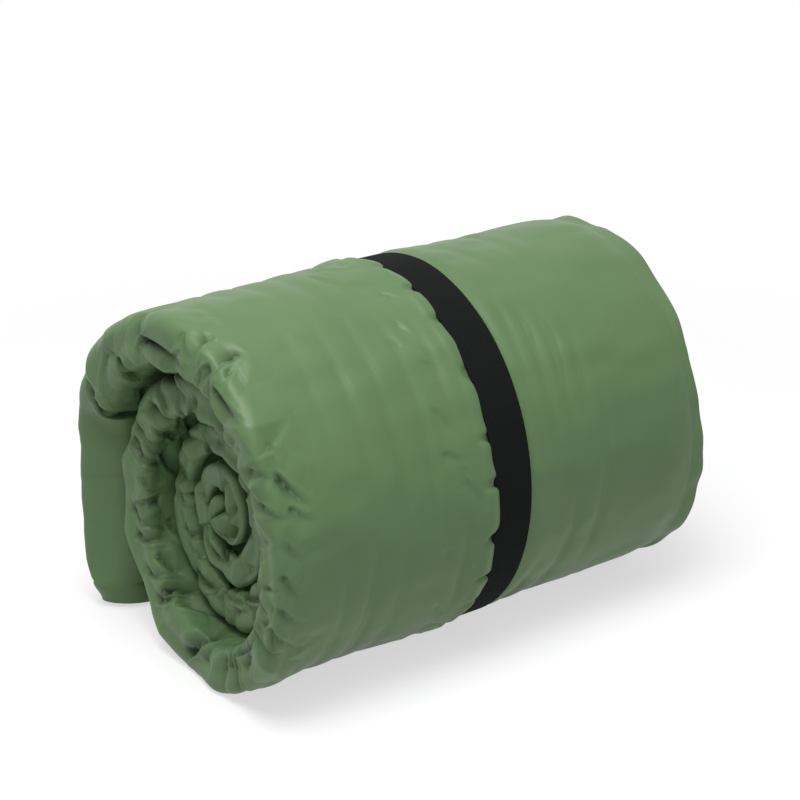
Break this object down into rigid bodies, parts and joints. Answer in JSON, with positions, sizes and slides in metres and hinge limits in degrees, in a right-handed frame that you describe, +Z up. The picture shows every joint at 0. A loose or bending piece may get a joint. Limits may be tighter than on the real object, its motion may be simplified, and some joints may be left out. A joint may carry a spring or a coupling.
{
  "type": "self-inflating sleeping mat",
  "caption": "Self-inflating sleeping mat folded in half lengthways, rolled up and held by an elastic strap, with its outer end hanging as a flap and a twist valve at one corner.",
  "frame": {"origin": "on the ground under the middle of the whole roll", "axes": "+X along the roll from its folded end to its open edges, +Y towards the hanging flap, +Z up"},
  "size_m": [0.3436, 0.2206, 0.2176],
  "materials": {
    "mat_fabric": "satin",
    "foam": "matte",
    "elastic": "matte",
    "thread": "matte",
    "valve_plastic": "satin",
    "seal_rubber": "matte"
  },
  "bodies": {
    "mat": {"outer_cover": "mat_fabric", "inner_cover": "mat_fabric", "foam_core": "foam", "valve_body": "valve_plastic"},
    "strap": {"strap_band": "elastic", "strap_stitching": "thread"},
    "valve_stopper": {"valve_plunger": "valve_plastic", "valve_o_ring": "seal_rubber"},
    "cap": {"valve_cap": "valve_plastic"}
  },
  "joints": [
    {"name": "strap_slide", "type": "slide", "parent": "mat", "child": "strap", "axis": [1, 0, 0], "range_m": [0, 0.195]},
    {"name": "valve_lift", "type": "slide", "parent": "mat", "child": "valve_stopper", "axis": [1, 0, 0], "range_m": [0, 0.00396]},
    {"name": "cap_turn", "type": "hinge", "parent": "valve_stopper", "child": "cap", "pos_m": [0.1598, 0.09217, 0.0459], "axis": [1, 0, 0], "range_deg": [0, 360]}
  ],
  "couplings": [
    {"joint": "cap_turn", "follows": "valve_lift", "rad_per_m": 1586.7}
  ]
}
